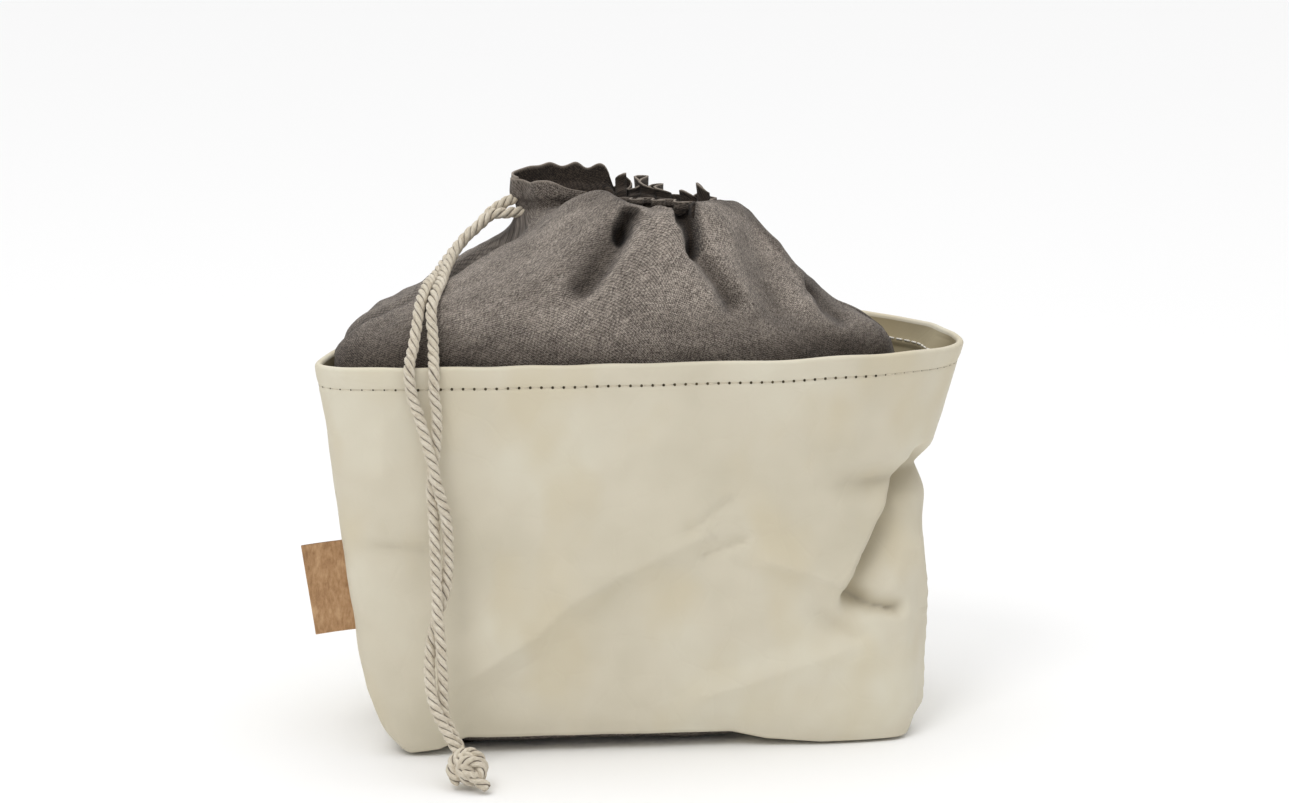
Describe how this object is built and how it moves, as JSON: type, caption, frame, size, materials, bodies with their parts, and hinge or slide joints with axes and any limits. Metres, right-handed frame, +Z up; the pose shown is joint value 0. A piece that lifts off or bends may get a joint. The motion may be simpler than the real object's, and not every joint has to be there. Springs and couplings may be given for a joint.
{
  "type": "bread bag",
  "caption": "Drawstring linen bread bag standing in a cream washable-paper basket, drawn shut at the neck, its twisted cord falling over the rim to a knot in front.",
  "frame": {"origin": "on the floor under the bag, in the plane that its flat base rests on", "axes": "+Z up, +X to the right of a viewer who faces the long front, -Y towards that viewer"},
  "size_m": [0.298, 0.1926, 0.2545],
  "materials": {
    "paper_bag": "matte washable paper, cream, leathery",
    "linen_liner": "plain-woven washed linen, grey brown",
    "side_label": "bare kraft tab",
    "cord_left": "three-strand twisted cotton",
    "cord_right": "three-strand twisted cotton",
    "cord_knot": "three-strand twisted cotton, knotted"
  },
  "bodies": {
    "root": {"paper_bag": "paper_bag", "linen_liner": "linen_liner", "side_label": "side_label", "cord_left": "cord_left", "cord_right": "cord_right", "cord_knot": "cord_knot"}
  },
  "joints": []
}
